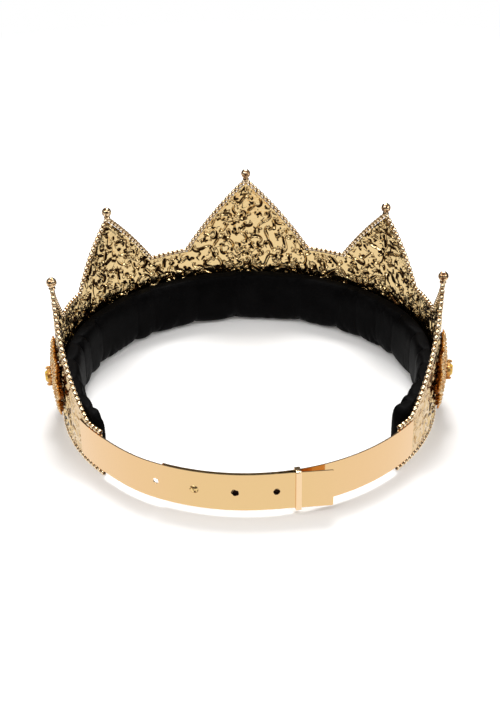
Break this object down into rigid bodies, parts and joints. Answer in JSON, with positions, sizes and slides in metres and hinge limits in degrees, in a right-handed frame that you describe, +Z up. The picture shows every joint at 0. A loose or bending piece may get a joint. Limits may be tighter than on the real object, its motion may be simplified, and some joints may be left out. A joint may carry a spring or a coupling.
{
  "type": "metal crown",
  "caption": "Gold metal crown with embossed points, ball finials, stone-set medallions, a padded black lining and overlapping rear straps with a stud and a sliding keeper.",
  "frame": {"origin": "centre of the footprint, on the plane that the bottom wire stands on", "axes": "+Z up; the front point faces -Y and the straps are at +Y; +X is the wearer's left"},
  "size_m": [0.1934, 0.1808, 0.085],
  "materials": {
    "embossed_gold": "embossed and polished, dark in the hollows",
    "bead_gold": "polished beads",
    "filigree_gold": "warm polished filigree",
    "polished_gold": "smooth and mirror bright",
    "stud_gold": "polished",
    "amber_stone": "faceted and clear",
    "black_satin": "soft satin, gathered"
  },
  "bodies": {
    "crown": {"crown_wall": "embossed_gold", "top_bead_wire": "bead_gold", "bottom_bead_wire": "bead_gold", "front_finial": "bead_gold", "front_left_finial": "bead_gold", "front_right_finial": "bead_gold", "side_left_finial": "bead_gold", "side_right_finial": "bead_gold", "front_medallion": "filigree_gold", "front_left_medallion": "filigree_gold", "front_right_medallion": "filigree_gold", "side_left_medallion": "filigree_gold", "side_right_medallion": "filigree_gold", "front_setting": "filigree_gold", "front_left_setting": "filigree_gold", "front_right_setting": "filigree_gold", "side_left_setting": "filigree_gold", "side_right_setting": "filigree_gold", "front_stone": "amber_stone", "front_left_stone": "amber_stone", "front_right_stone": "amber_stone", "side_left_stone": "amber_stone", "side_right_stone": "amber_stone", "lining": "black_satin", "outer_strap": "polished_gold", "inner_strap": "polished_gold", "strap_stud": "stud_gold"},
    "keeper": {"keeper_loop": "polished_gold"}
  },
  "joints": [
    {"name": "keeper_slide", "type": "hinge", "parent": "crown", "child": "keeper", "pos_m": [0, -0.00172, 0.0127], "axis": [0, 0, 1], "range_deg": [-25, 0]}
  ]
}
